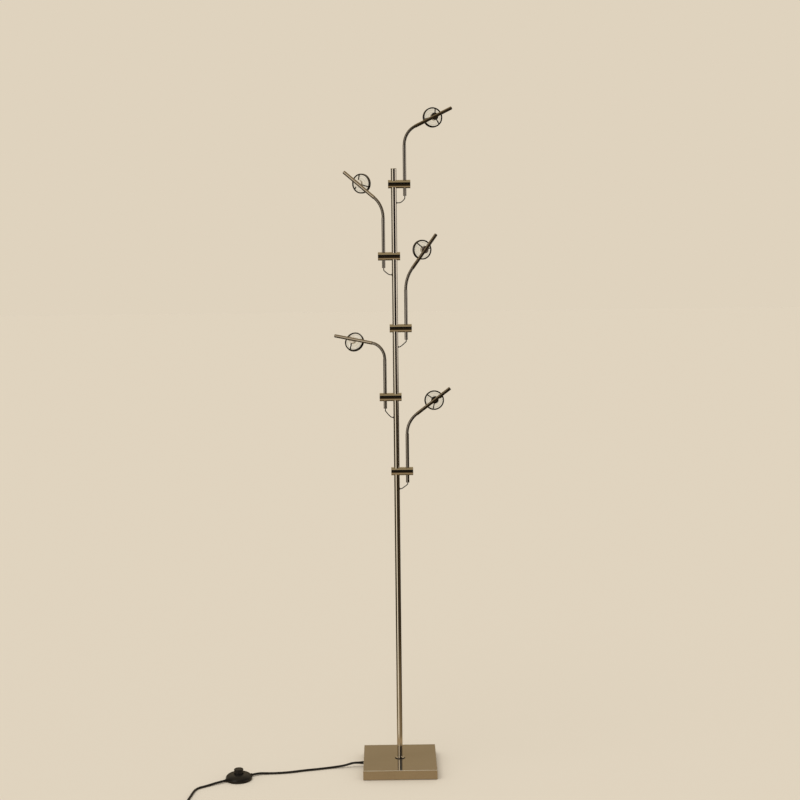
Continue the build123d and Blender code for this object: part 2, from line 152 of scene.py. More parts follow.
def arc(radius_from, height_from, radius_to, height_to, steps):
    """Quarter ellipse from a rim, where it stands upright, to a top, where it lies level."""
    points = []
    for step in range(steps + 1):
        angle = pi / 2 * step / steps
        radius = radius_to + (radius_from - radius_to) * cos(angle)
        points.append((radius, height_from + (height_to - height_from) * sin(angle)))
    return points


def box_mesh(x, y, z, low=(0, 0, 0)):
    """Box centred on low in X and Y, standing on it."""
    bm = bmesh.new()
    bmesh.ops.create_cube(bm, size=1)
    bm.transform(Matrix.Diagonal((x, y, z, 1)))
    bm.transform(Matrix.Translation(Vector(low) + UP * z / 2))
    return bm


def loose_object(name, bm):
    """Object with this mesh, in the scene."""
    bmesh.ops.recalc_face_normals(bm, faces=bm.faces)
    mesh = bpy.data.meshes.new(name)
    bm.to_mesh(mesh)
    bm.free()
    obj = bpy.data.objects.new(name, mesh)
    bpy.context.scene.collection.objects.link(obj)
    return obj


def evaluated(obj):
    """The object's mesh with its modifiers applied, as a bmesh; the object is removed."""
    bpy.context.view_layer.update()
    shown = obj.evaluated_get(bpy.context.evaluated_depsgraph_get())
    bm = bmesh.new()
    bm.from_mesh(shown.to_mesh())
    shown.to_mesh_clear()
    bpy.data.objects.remove(obj)
    return bm


def cut(bm, *cutters):
    """A bmesh less the cutters."""
    body = loose_object("body", bm)
    tools = [loose_object("tool", cutter) for cutter in cutters]
    for tool in tools:
        modifier = body.modifiers.new("cut", "BOOLEAN")
        modifier.operation = "DIFFERENCE"
        modifier.solver = "EXACT"
        modifier.object = tool
    result = evaluated(body)
    for tool in tools:
        bpy.data.objects.remove(tool)
    return result


def piece(name, bm, material, body, replaced=(), place=Matrix(), edge=EDGE, segments=2):
    """Adds a finished piece: placed, smooth, with rounded edges, riding on its body."""
    bm.transform(place)
    obj = loose_object(name, bm)
    obj.data.materials.append(material)
    obj.data.shade_smooth()
    if edge:
        modifier = obj.modifiers.new("edges", "BEVEL")
        modifier.width = edge
        modifier.segments = segments
        modifier.limit_method = "ANGLE"
        modifier.angle_limit = radians(30)
        modifier.harden_normals = True
    else:
        obj.data.set_sharp_from_angle(angle=radians(35))
    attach(obj, body)
    if replaced:
        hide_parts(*replaced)
    return obj


def route(name, points, radius, material, body, replaced=()):
    """Adds a round cord whose smooth line has these control points."""
    curve = bpy.data.curves.new(name, "CURVE")
    curve.dimensions = "3D"
    spline = curve.splines.new("NURBS")
    spline.points.add(len(points) - 1)
    for control, point in zip(spline.points, points):
        control.co = (*point, 1)
    spline.order_u = 3
    spline.use_endpoint_u = True
    curve.resolution_u = 8
    curve.bevel_depth = radius
    curve.bevel_resolution = 6
    curve.use_fill_caps = True
    curve.materials.append(material)
    obj = bpy.data.objects.new(name, curve)
    bpy.context.scene.collection.objects.link(obj)
    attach(obj, body)
    if replaced:
        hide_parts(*replaced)
    return obj


# ------------------------------------------------------------------ node trees
class Nodes:
    """Adds nodes to one tree and joins them."""

    def __init__(self, tree):
        self.tree = tree

    def fill(self, socket, value):
        """Links an output to a socket, or sets a plain value on it."""
        if hasattr(value, "is_output"):
            self.tree.links.new(value, socket)
        else:
            socket.default_value = value

    def add(self, kind, *inputs, sockets=None, **settings):
        """Adds a node, with values or links for its first sockets and for those that are named."""
        added = self.tree.nodes.new(kind)
        for name, value in settings.items():
            setattr(added, name, value)
        for socket, value in zip(added.inputs, inputs):
            self.fill(socket, value)
        for name, value in (sockets or {}).items():
            self.fill(added.inputs[name], value)
        return added

    def calculate(self, operation, first, second):
        return self.add("ShaderNodeMath", first, second, operation=operation).outputs["Value"]

    def ramp(self, value, low, high, shape="LINEAR"):
        """0 below low and 1 above high, or the other way round where high is the lower."""
        added = self.add("ShaderNodeMapRange", value, low, high, interpolation_type=shape)
        return added.outputs["Result"]

    def mix(self, factor, first, second):
        """Colour between two, each of them plain or an output."""
        added = self.add("ShaderNodeMix", sockets={"Factor": factor}, data_type="RGBA")
        colours = [socket for socket in added.inputs if socket.type == "RGBA"]
        for socket, value in zip(colours, (first, second)):
            self.fill(socket, (*value, 1) if isinstance(value, tuple) else value)
        return next(socket for socket in added.outputs if socket.type == "RGBA")


# ------------------------------------------------------------------ materials
def new_material(name, slot, colour, roughness, metallic=0.0):
    """Material for a slot, with its nodes and its shader."""
    material = bpy.data.materials.new(name)
    material.use_nodes = True
    material["slot"] = slot
    shader = material.node_tree.nodes["Principled BSDF"]
    shader.inputs["Base Color"].default_value = (*colour, 1)
    shader.inputs["Roughness"].default_value = roughness
    shader.inputs["Metallic"].default_value = metallic
    return material, Nodes(material.node_tree), shader


def noise(nodes, scale, stretch=(1, 1, 1), detail=4.0):
    """Noise in the object's own space, stretched along its axes."""
    coordinates = nodes.add("ShaderNodeTexCoord").outputs["Object"]
    mapping = nodes.add("ShaderNodeMapping", coordinates, sockets={"Scale": stretch})
    sockets = {"Vector": mapping.outputs["Vector"], "Scale": scale, "Detail": detail}
    return nodes.add("ShaderNodeTexNoise", sockets=sockets).outputs["Fac"]


def spread(nodes, value, low, high, from_low=0.3, from_high=0.7):
    """Value stretched to run from low to high."""
    return nodes.add("ShaderNodeMapRange", value, from_low, from_high, low, high).outputs["Result"]


def vary_colour(nodes, shader, value, dark, light):
    """Base colour that runs from dark to light with a value."""
    ramp = nodes.add("ShaderNodeValToRGB", value)
    for element, position, colour in zip(ramp.color_ramp.elements, (0.3, 0.7), (dark, light)):
        element.position = position
        element.color = (*colour, 1)
    nodes.fill(shader.inputs["Base Color"], ramp.outputs["Color"])


def bump(nodes, shader, value, strength, distance):
    """Relief from a value, its depth in metres."""
    sockets = {"Strength": strength, "Distance": distance, "Height": value}
    nodes.fill(shader.inputs["Normal"], nodes.add("ShaderNodeBump", sockets=sockets).outputs["Normal"])


def metal(name, slot, dark, light, smooth, rough, polish=(1, 1, 1), grain=900, metallic=1.0):
    """Metal with faint colour clouds and fine polishing marks, stretched along one axis."""
    material, nodes, shader = new_material(name, slot, light, smooth, metallic)
    vary_colour(nodes, shader, noise(nodes, 9), dark, light)
    marks = noise(nodes, grain, polish, 3)
    nodes.fill(shader.inputs["Roughness"], spread(nodes, marks, smooth, rough))
    bump(nodes, shader, marks, 0.06, 0.00005)
    return material


def plastic(name, slot, dark, light, smooth, rough, grain, depth):
    """Moulded plastic or rubber with a fine grain."""
    material, nodes, shader = new_material(name, slot, light, smooth)
    shader.inputs["Specular IOR Level"].default_value = 0.3
    vary_colour(nodes, shader, noise(nodes, 30), dark, light)
    texture = noise(nodes, grain)
    nodes.fill(shader.inputs["Roughness"], spread(nodes, texture, smooth, rough))
    bump(nodes, shader, texture, 0.25, depth)
    return material


def glass(name, slot, dark=(0.95, 0.97, 0.965), light=(0.98, 0.99, 0.985), smooth=0.0, rough=0.03):
    """Moulded lens plastic, clear with a trace of haze, or frosted where its edges are."""
    material, nodes, shader = new_material(name, slot, light, smooth)
    shader.inputs["Transmission Weight"].default_value = 1.0
    shader.inputs["IOR"].default_value = 1.49
    vary_colour(nodes, shader, noise(nodes, 60), dark, light)
    nodes.fill(shader.inputs["Roughness"], spread(nodes, noise(nodes, 300), smooth, rough))
    return material


def dotted(name, slot, ground, dots, scale, threshold, roughness):
    """Two colours, the second in small round dots, such as die under a phosphor."""
    material, nodes, shader = new_material(name, slot, ground, roughness)
    coordinates = nodes.add("ShaderNodeTexCoord").outputs["Object"]
    cells = nodes.add("ShaderNodeTexVoronoi", sockets={"Vector": coordinates, "Scale": scale})
    mask = spread(nodes, cells.outputs["Distance"], 0, 1, threshold, threshold * 1.3)
    nodes.fill(shader.inputs["Base Color"], nodes.mix(mask, dots, ground))
    return material


NICKEL_DARK, NICKEL_LIGHT = (0.60, 0.545, 0.46), (0.69, 0.64, 0.56)
ALONG_Z, ALONG_X = (1, 1, 0.02), (0.02, 1, 1)

nickel_upright = metal("nickel_upright", "nickel", NICKEL_DARK, NICKEL_LIGHT, 0.06, 0.13, ALONG_Z)
nickel_level = metal("nickel_level", "nickel", NICKEL_DARK, NICKEL_LIGHT, 0.06, 0.13, ALONG_X)
nickel = metal("nickel_turned", "nickel", NICKEL_DARK, NICKEL_LIGHT, 0.08, 0.16)
# Darker copies of the nickel for the arm tubes, head rods and necks: the same metal as the pole, with
# painted shade in their colour.
nickel_tube_painted_shade = metal(
    "nickel_tube_painted_shade", "nickel", (0.34, 0.31, 0.27), (0.42, 0.385, 0.34), 0.06, 0.13, ALONG_Z
)
nickel_rod_painted_shade = metal("nickel_rod_painted_shade", "nickel", (0.31, 0.265, 0.205), (0.38, 0.325, 0.25), 0.07, 0.14)
nickel_neck_painted_shade = metal("nickel_neck_painted_shade", "nickel", (0.24, 0.215, 0.185), (0.31, 0.28, 0.24), 0.14, 0.24)
# The same nickel painted near black, for the lens rings, their legs and the collar's side: painted
# shade and dark reflection.
nickel_painted_dark_shade = metal("nickel_painted_dark_shade", "nickel", (0.045, 0.04, 0.034), (0.075, 0.067, 0.056), 0.12, 0.22)
base_metal = metal(
    "base_nickel", "base_metal", (0.48, 0.41, 0.305), (0.52, 0.445, 0.335), 0.035, 0.06, ALONG_X,
    1400, metallic=0.91,
)
# Lighter, half metallic nickel on the cover's rounded top edge: a painted highlight line.
base_edge_painted_highlight = metal(
    "base_edge_painted_highlight", "base_metal", (0.66, 0.58, 0.45), (0.74, 0.66, 0.52), 0.32, 0.4, metallic=0.5
)
pin_metal = metal("plug_pins", "switch_black", (0.62, 0.60, 0.56), (0.72, 0.70, 0.66), 0.2, 0.3)
black_steel = plastic(
    "black_steel", "black_steel", (0.02, 0.02, 0.02), (0.035, 0.034, 0.032), 0.45, 0.6, 700, 0.0001
)
cast_iron = plastic(
    "cast_iron", "cast_weight", (0.07, 0.07, 0.07), (0.13, 0.125, 0.12), 0.7, 0.9, 260, 0.0006
)
foot_rubber = plastic(
    "foot_rubber", "foot_rubber", (0.018, 0.018, 0.018), (0.03, 0.03, 0.03), 0.75, 0.9, 900, 0.0001
)
white_plastic = plastic(
    "white_plastic", "white_plastic", (0.76, 0.76, 0.73), (0.85, 0.85, 0.82), 0.4, 0.5, 800, 0.00005
)
cord_black = plastic(
    "cord_black", "cord_black", (0.008, 0.007, 0.006), (0.017, 0.014, 0.012), 0.38, 0.5, 1500, 0.00004
)
lead_grey = plastic(
    "lead_grey", "cord_black", (0.012, 0.011, 0.010), (0.02, 0.018, 0.016), 0.4, 0.5, 1500, 0.00003
)
switch_black = plastic(
    "switch_black", "switch_black", (0.007, 0.006, 0.005), (0.016, 0.013, 0.01), 0.26, 0.38, 1200,
    0.00004,
)
lens_glass = glass("lens_glass", "lens_glass")
# Frosted lens plastic tinted grey for the steps: the grey is a painted reflection of the ring and the
# board in the lens.
lens_step_painted_reflection = glass("lens_step_painted_reflection", "lens_glass", (0.30, 0.31, 0.31), (0.42, 0.43, 0.43), 0.35, 0.5)
phosphor = dotted(
    "phosphor", "white_plastic", (0.80, 0.62, 0.10), (0.72, 0.50, 0.05), 1400, 0.32, 0.45
)


def dress(node, material):
    """Gives a frame node its material."""
    mesh = frame["nodes"][node].data
    mesh.materials.clear()
    mesh.materials.append(material)


# ------------------------------------------------------------------ base
COVER_WALL = 0.0015
COVER_EDGE = 0.0011
COVER_CORNER = 0.0016
# Faces of the cover's top edge whose normals lie between these slopes get the painted highlight.
HIGHLIGHT_EDGE_SLOPES = (0.1, 0.95)  # Z of the normals on its rounded top edge
RELIEF_RADIUS = 0.0042
RELIEF_HEIGHT = 0.013


def base():
    """Folded square cover with softened edges, and the pieces under it."""
    low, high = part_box("base_cover")
    width, depth, height = high - low
    bm = box_mesh(width, depth, height, (0, 0, low.z))
    upright = [edge for edge in bm.edges if abs(edge.verts[0].co.z - edge.verts[1].co.z) > height / 2]
    bmesh.ops.bevel(bm, geom=upright, offset=COVER_CORNER, segments=4, profile=0.5, affect="EDGES")
    top = [edge for edge in bm.edges if all(vertex.co.z > high.z - EDGE for vertex in edge.verts)]
    bmesh.ops.bevel(bm, geom=top, offset=COVER_EDGE, segments=4, profile=0.5, affect="EDGES")
    under = [face for face in bm.faces if face.normal.z < -0.9]
    bmesh.ops.delete(bm, geom=under, context="FACES")
    shell = loose_object("shell", bm)
    solidify = shell.modifiers.new("wall", "SOLIDIFY")
    solidify.thickness = COVER_WALL
    solidify.offset = -1
    _, _, pole_radius = reach("pole", Vector(), UP)
    pole_hole = lathe([(0, 0), (pole_radius, 0), (pole_radius, 2 * high.z), (0, 2 * high.z)])
    relief_hole = lathe([(0, 0), (RELIEF_RADIUS, 0), (RELIEF_RADIUS, width), (0, width)])
    relief_hole.transform(placed(Vector((0, 0, RELIEF_HEIGHT)), LEFT))
    bm = cut(evaluated(shell), pole_hole, relief_hole)
    cover = piece("base_cover_shell", bm, base_metal, "root", ["base_cover"], edge=0)
    flat = cover.modifiers.new("flat", "WEIGHTED_NORMAL")
    flat.keep_sharp = True
    flat.weight = 100
    # The rounded top edge gets the lighter material, a painted highlight.
    cover.data.materials.append(base_edge_painted_highlight)
    least, most = HIGHLIGHT_EDGE_SLOPES
    for face in cover.data.polygons:
        if face.center.z > high.z - COVER_EDGE and least < face.normal.z < most:
            face.material_index = 1
    dress("base_plate", black_steel)
    dress("base_feet", foot_rubber)
    dress("base_weight", cast_iron)
    dress("led_driver", white_plastic)


# ------------------------------------------------------------------ pole
POLE_WALL = 0.0012
LEAD_RADIUS = 0.0013
GROMMET_RADIUS = 0.0024
GROMMET_PROUD = 0.0011
COLLAR_SLOPE = 0.0008  # fall of its top face towards the rim
COLLAR_TAPER = 0.0004
CAP_CROWN = 0.0005

# For each lead: how far below the clamp it starts to bend, lies level, and at what distance
# from the pole's axis it does.
LEADS = {
    1: (0.039, 0.049, 0.018),
    2: (0.038, 0.049, 0.015),
    3: (0.036, 0.050, 0.013),
    4: (0.038, 0.055, 0.014),
    5: (0.036, 0.048, 0.013),
}


def lead_exit(arm, distance=0.0):
    """Point on the axis of the hole that an arm's lead goes into."""
    _, level, _ = LEADS[arm.number]
    return Vector((arm.side * distance, 0, arm.foot.z - level))


def pole(arms):
    """Pole with its lead holes, the cap in its top and the collar at its foot."""
    low, high, radius = reach("pole", Vector(), UP)
    bore = radius - POLE_WALL
    bm = lathe([(bore, low), (radius, low), (radius, high), (bore, high)])
    holes = []
    for arm in arms:
        hole = lathe([(0, 0), (GROMMET_RADIUS, 0), (GROMMET_RADIUS, radius * 2), (0, radius * 2)], 32)
        hole.transform(placed(lead_exit(arm), LEFT * -arm.side))
        holes.append(hole)
    piece("pole_tube", cut(bm, *holes), nickel_upright, "root", ["pole"])

    cap_low, cap_high, cap_radius = reach("pole_cap", Vector(), UP)
    outline = [(0, cap_low), (bore, cap_low), (bore, high), (cap_radius, high)]
    outline += arc(cap_radius, high + CAP_CROWN, cap_radius - 2 * CAP_CROWN, cap_high, 6)
    outline += [(0, cap_high)]
    piece("pole_top_cap", lathe(outline), nickel, "root", ["pole_cap"], edge=0)

    collar_low, collar_high, collar_radius = reach("pole_collar", Vector(), UP)
    shoulder = collar_high - COLLAR_SLOPE
    outline = [
        (radius, collar_low), (collar_radius, collar_low), (collar_radius - COLLAR_TAPER, shoulder),
        (radius, collar_high),
    ]
    # The collar's side is the nickel painted dark, a painted shade, and its top face plain nickel,
    # lighter as if lit.
    collar = piece("pole_foot_collar", lathe(outline), nickel_painted_dark_shade, "root", ["pole_collar"])
    collar.data.materials.append(nickel)
    for face in collar.data.polygons:
        if face.normal.z > 0.5:
            face.material_index = 1
    dress("pole_nut", black_steel)


# ------------------------------------------------------------------ clamps
SCREW_RADIUS = 0.0025
SCREW_SOCKET = 0.00125
SCREW_DEPTH = 0.0012
FIT = 0.00005
CLAMP_WINDOW = 0.02  # half the height about a clamp in which its vertices lie


def clamps(arms):
    """Round bars bored for the pole and the arm tube, each with two set screws behind."""
    _, _, pole_radius = reach("pole", Vector(), UP)
    for arm in arms:
        own = [point for point in vertices("clamps") if abs(point.z - arm.foot.z) < CLAMP_WINDOW]
        start, end = min(point.x for point in own), max(point.x for point in own)
        radius = max(point.z for point in own) - arm.foot.z
        origin = Vector((start, 0, arm.foot.z))
        bm = lathe([(0, 0), (radius, 0), (radius, end - start), (0, end - start)])
        bm.transform(placed(origin, RIGHT))
        _, _, tube_radius = reach(f"arm_tube_{arm.number}", arm.foot, UP)
        bores = []
        for x, bore_radius in ((0, pole_radius + FIT), (arm.foot.x, tube_radius + FIT)):
            bore = lathe(
                [(0, -2 * radius), (bore_radius, -2 * radius), (bore_radius, 2 * radius),
                 (0, 2 * radius)]
            )
            bore.transform(Matrix.Translation((x, 0, arm.foot.z)))
            seat = lathe([(0, 0), (SCREW_RADIUS, 0), (SCREW_RADIUS, radius), (0, radius)], 32)
            behind = Vector((x, radius - SCREW_DEPTH, arm.foot.z))
            seat.transform(placed(behind, BACK))
            bores += [bore, seat]
            set_screw(arm, x, behind)
        replaced = ["clamps"] if arm.number == 1 else []
        piece(f"clamp_bar_{arm.number}", cut(bm, *bores), nickel_level, "root", replaced)


def set_screw(arm, x, place):
    """Hexagon socket set screw, just below the bar's surface."""
    top = SCREW_DEPTH / 2
    radius = SCREW_RADIUS - FIT
    screw = lathe([(0, -SCREW_DEPTH), (radius, -SCREW_DEPTH), (radius, top), (0, top)], 32)
    socket = lathe([(0, -top), (SCREW_SOCKET, -top), (SCREW_SOCKET, 2 * top), (0, 2 * top)], 6)
    name = f"clamp_screw_{arm.number}_{'pole' if x == 0 else 'arm'}"
    matrix = placed(place, BACK)
    piece(name, cut(screw, socket), black_steel, "root", place=matrix, edge=0)


# ------------------------------------------------------------------ arms
TUBE_WALL = 0.001
NECK_RIB = 0.0017
NECK_RIB_DEPTH = 0.00022
NECK_STEPS = 4  # rings in each rib
NECK_INSERT = 0.005
NECK_OVERLAP = 1.5  # ribs that the two halves share
NECK_TUCK = 0.00025


def arm_tube(arm):
    """Straight tube that turns in the clamp."""
    name = f"arm_tube_{arm.number}"
    low, high, radius = reach(name, arm.foot, UP)
    bore = radius - TUBE_WALL
    bm = lathe([(bore, low), (radius, low), (radius, high), (bore, high)], SIDES)
    place = Matrix.Translation(arm.foot)
    piece(f"arm_pipe_{arm.number}", bm, nickel_tube_painted_shade, f"arm_{arm.number}", [name], place)


def neck_half(arm, start, end, radius, upper):
    """Part of the bent, finely ribbed neck between two lengths along it."""
    steps = round((end - start) / NECK_RIB * NECK_STEPS)
    centre = arm.neck_start + arm.heading * arm.bend_radius
    bm = bmesh.new()
    rings = []
    stations = [start + (end - start) * step / steps for step in range(steps + 1)]
    if not upper:
        stations = [-NECK_INSERT, -EDGE] + stations
    for station in stations:
        turn = max(station, 0) / arm.bend_radius
        direction = arm.heading * sin(turn) + UP * cos(turn)
        outward = direction.cross(arm.bend_axis)
        middle_point = centre + outward * arm.bend_radius + UP * min(station, 0)
        wave = (0.5 - 0.5 * cos(2 * pi * station / NECK_RIB)) ** 2
        size = radius - NECK_RIB_DEPTH * wave
        if station < 0:
            size = radius - 2.5 * NECK_RIB_DEPTH
        if not upper and station > end - NECK_OVERLAP * NECK_RIB:
            size -= NECK_TUCK
        ring = []
        for side in range(SMALL_SIDES):
            angle = 2 * pi * side / SMALL_SIDES
            offset = outward * cos(angle) + arm.bend_axis * sin(angle)
            ring.append(bm.verts.new(middle_point + offset * size))
        rings.append(ring)
    for low, high in zip(rings, rings[1:]):
        for side in range(SMALL_SIDES):
            bm.faces.new([low[side - 1], low[side], high[side], high[side - 1]])
    bm.faces.new(rings[0])
    bm.faces.new(rings[-1])
    return bm


def neck(arm):
    """Gooseneck in two halves, the lower bending from the arm and the upper into the head."""
    node = f"neck_{arm.number}"
    radius = max((point - arm.neck_start).dot(arm.bend_axis) for point in vertices(node))
    length = arm.bend_radius * arm.bend
    overlap = NECK_OVERLAP * NECK_RIB / 2
    halves = (("lower", 0, length / 2 + overlap), ("upper", length / 2 - overlap, length))
    for index, (name, start, end) in enumerate(halves):
        obj = loose_object(
            f"neck_{name}_{arm.number}", neck_half(arm, start, end, radius, name == "upper")
        )
        obj.data.materials.append(nickel_neck_painted_shade)
        obj.data.shade_smooth()
        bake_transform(obj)
        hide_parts(node)


def lead(arm):
    """Thin lead from the arm tube's end into the pole, through a grommet."""
    bend, level, level_x = LEADS[arm.number]
    tube_low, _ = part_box(f"arm_tube_{arm.number}")
    _, _, pole_radius = reach("pole", Vector(), UP)
    x = arm.foot.x
    points = [
        (x, 0, tube_low.z + 0.005),
        (x, 0, tube_low.z - 0.003),
        (x, 0, arm.foot.z - bend),
        (arm.side * level_x, 0, arm.foot.z - level),
        (arm.side * (pole_radius + 0.001), 0, arm.foot.z - level),
        (arm.side * (pole_radius - 0.004), 0, arm.foot.z - level),
    ]
    replaced = ["arm_leads"] if arm.number == 1 else []
    route(f"lead_{arm.number}", points, LEAD_RADIUS, lead_grey, "root", replaced)
    inside = -POLE_WALL * 2
    outline = [
        (LEAD_RADIUS, inside), (GROMMET_RADIUS - FIT, inside), (GROMMET_RADIUS - FIT, 0),
        (GROMMET_RADIUS + 0.0006, 0), (GROMMET_RADIUS + 0.0006, GROMMET_PROUD / 2),
        (LEAD_RADIUS + 0.0004, GROMMET_PROUD), (LEAD_RADIUS, GROMMET_PROUD),
    ]
    place = placed(lead_exit(arm, pole_radius), LEFT * -arm.side)
    piece(f"lead_grommet_{arm.number}", lathe(outline, 32), cord_black, "root", place=place, edge=0)


# ------------------------------------------------------------------ lamp heads
ROD_EDGE = 0.0005
HOLDER_BACK = 0.0015
HOLDER_EDGE = 0.0002
GROOVES = 3
GROOVES_START = 1.6  # pitches
GROOVE_WIDTH = 0.0008
GROOVE_DEPTH = 0.0009
RING_WALL = 0.0022
RING_BEHIND = 0.002  # its reach behind the lens
RING_EDGE = 0.00035
LIP_WIDTH = 0.0013
LIP_THICKNESS = 0.0014
LEG_COUNT = 3
LEG_WIDTH = 0.003
LEG_THICKNESS = 0.002
LEG_SEAT = 0.0006
LEG_EDGE = 0.0004
LEG_START = 0.0075  # along the lens axis, from the rod's
LENS_EDGE = 0.0035
LENS_SLOPES = 14
LENS_STEPS_AT = (0.52, 0.80)  # steps in its flat side, as shares of its radius
LENS_STEP = 0.0005
LENS_STEP_HALF = 0.0004
LENS_STEP_REACH = 0.013  # share of the radius
LED_RADIUS = 0.0042
LED_PROUD = 0.0005

# Turn of the lens legs about the lens axis, in degrees.
LEG_TURNS = {1: 47.0, 2: 44.0, 3: 80.0, 4: 37.0, 5: 105.0}


def head(arm):
    """All that the gooseneck carries: rod, LED holder, LED, lens and its ring."""
    body = f"head_{arm.number}"
    lamp = placed(arm.lamp, arm.aim, arm.rod_axis)
    rod_radius = rod(arm, body)
    holder_radius = holder(arm, body, lamp, rod_radius)
    led(arm, body, lamp)
    lens_back = lens(arm, body, lamp)
    ring(arm, body, lamp, lens_back, holder_radius)


def rod(arm, body):
    """Round rod on the end of the gooseneck; returns its radius."""
    node = f"head_rod_{arm.number}"
    low, high, radius = reach(node, arm.neck_end, arm.rod_axis)
    outline = [(0, low), (radius, low), (radius, high), (0, high)]
    place = placed(arm.neck_end, arm.rod_axis, arm.aim)
    piece(f"rod_{arm.number}", lathe(outline), nickel_rod_painted_shade, body, [node], place, ROD_EDGE)
    return radius


def holder(arm, body, lamp, rod_radius):
    """Grooved LED holder, saddled on the rod; returns its radius."""
    node = f"led_holder_{arm.number}"
    _, front, radius = reach(node, arm.lamp, arm.aim)
    pitch = (front - HOLDER_BACK) / (GROOVES + 2)
    outline = [(0, HOLDER_BACK), (radius, HOLDER_BACK)]
    for groove in range(GROOVES):
        height = HOLDER_BACK + pitch * (groove + GROOVES_START)
        outline += [
            (radius, height), (radius - GROOVE_DEPTH, height),
            (radius - GROOVE_DEPTH, height + GROOVE_WIDTH), (radius, height + GROOVE_WIDTH),
        ]
    outline += [(radius, front), (0, front)]
    saddle_radius = rod_radius + FIT
    saddle = lathe(
        [(0, -2 * radius), (saddle_radius, -2 * radius), (saddle_radius, 2 * radius), (0, 2 * radius)]
    )
    saddle.transform(placed(Vector(), RIGHT))
    bm = cut(lathe(outline), saddle)
    piece(f"holder_{arm.number}", bm, nickel, body, [node], lamp, HOLDER_EDGE)
    return radius


def led(arm, body, lamp):
    """Board with the low dome of its LED."""
    node = f"led_board_{arm.number}"
    dress(node, white_plastic)
    _, front, _ = reach(node, arm.lamp, arm.aim)
    outline = [(0, front), (LED_RADIUS, front)]
    outline += arc(LED_RADIUS, front + LED_PROUD / 2, 0, front + LED_PROUD, 8)[:-1]
    outline += [(0, front + LED_PROUD)]
    piece(f"led_{arm.number}", lathe(outline, 48), phosphor, body, place=lamp, edge=0)


def lens(arm, body, lamp):
    """Clear lens with frosted steps, their grey a painted reflection; returns where its back lies
    along the lamp's axis.
    """
    node = f"lens_{arm.number}"
    back, front, radius = reach(node, arm.lamp, arm.aim)
    bm = lathe(lens_outline(back, front, radius))
    for face in bm.faces:
        centre = face.calc_center_median()
        at = Vector((centre.x, centre.y)).length / radius
        on_step = any(abs(at - share) < LENS_STEP_REACH for share in LENS_STEPS_AT)
        face.material_index = int(on_step and centre.z < back + LENS_EDGE / 2)
    clear = piece(f"lens_clear_{arm.number}", bm, lens_glass, body, [node], lamp, 0)
    clear.data.materials.append(lens_step_painted_reflection)
    return back


def lens_outline(back, front, radius):
    """Spherical cap over a straight edge, with two shallow steps in the flat side."""
    crown = front - back - LENS_EDGE
    sphere = (radius * radius + crown * crown) / (2 * crown)
    step, half = LENS_STEP, LENS_STEP_HALF
    inner, outer = (at * radius for at in LENS_STEPS_AT)
    outline = [
        (0, back + step), (inner - half, back + step), (inner + half, back),
        (outer - half, back), (outer + half, back + step / 2), (0.97 * radius, back + step / 2),
        (radius, back + step),
    ]
    for index in range(LENS_SLOPES + 1):
        distance = radius * (1 - index / LENS_SLOPES)
        height = sqrt(sphere * sphere - distance * distance) - (sphere - crown)
        outline.append((distance, back + LENS_EDGE + height))
    return outline


def ring(arm, body, lamp, lens_back, holder_radius):
    """Ring with a lip behind the lens, and its slanting legs."""
    node = f"lens_frame_{arm.number}"
    _, front, radius = reach(node, arm.lamp, arm.aim)
    back = lens_back - RING_BEHIND
    seat = radius - RING_WALL
    outline = [
        (radius, back), (radius, front), (seat, front), (seat, lens_back - FIT),
        (seat - LIP_WIDTH, lens_back - FIT), (seat - LIP_WIDTH, lens_back - LIP_THICKNESS),
        (seat, lens_back - LIP_THICKNESS), (seat, back),
    ]
    bm = lathe(outline, 128)
    # Ring and legs take the nickel painted near black, a painted shade and dark reflection.
    piece(f"ring_{arm.number}", bm, nickel_painted_dark_shade, body, [node], lamp, RING_EDGE)
    foot = Vector((holder_radius - LEG_THICKNESS, 0, LEG_START))
    top = Vector((radius - RING_WALL / 2, 0, back + LEG_SEAT))
    for leg in range(LEG_COUNT):
        bm = box_mesh(LEG_WIDTH, LEG_THICKNESS, (top - foot).length)
        degrees = -arm.side * (LEG_TURNS[arm.number] + 360 / LEG_COUNT * leg)
        turn = Matrix.Rotation(radians(degrees), 4, "Z")
        place = lamp @ turn @ placed(foot, top - foot, BACK)
        piece(f"ring_{arm.number}_leg_{leg + 1}", bm, nickel_painted_dark_shade, body, place=place, edge=LEG_EDGE)


# ------------------------------------------------------------------ cord
CORD_RADIUS = 0.003
RELIEF_FLANGE = 0.006  # radius of the flange inside the cover
RELIEF_INSIDE = 0.0035
RELIEF_PLAIN = 0.003  # smooth length before the grooves and after them
RELIEF_RIBS = 5
SWITCH_CENTRE = Vector((-0.4366, -0.0783, 0))
SWITCH_AXIS = radians(31.0)
SWITCH_DIRECTION = Vector((cos(SWITCH_AXIS), sin(SWITCH_AXIS), 0))
NUB_REACH = 0.041
CORD_AT_SWITCH = 0.005


def switch_point(distance):
    """Point on the axis of the cord through the switch; positive is towards the base."""
    return tuple(SWITCH_CENTRE + SWITCH_DIRECTION * distance + UP * CORD_AT_SWITCH)


CORD_IN = [
    (-0.120, 0, 0.013),
    (-0.131, 0, 0.0128),
    (-0.153, -0.0025, 0.0062),
    (-0.186, -0.006, 0.003),
    (-0.227, -0.018, 0.003),
    (-0.263, -0.026, 0.003),
    (-0.298, -0.0375, 0.003),
    (-0.333, -0.0435, 0.003),
    (-0.362, -0.0445, 0.003),
    switch_point(NUB_REACH + 0.020),
    switch_point(NUB_REACH),
]
CORD_OUT = [
    switch_point(-NUB_REACH),
    switch_point(-NUB_REACH - 0.020),
    (-0.515, -0.128, 0.003),
    (-0.543, -0.147, 0.003),
    (-0.549, -0.189, 0.003),
    (-0.554, -0.234, 0.003),
    (-0.556, -0.272, 0.003),
]

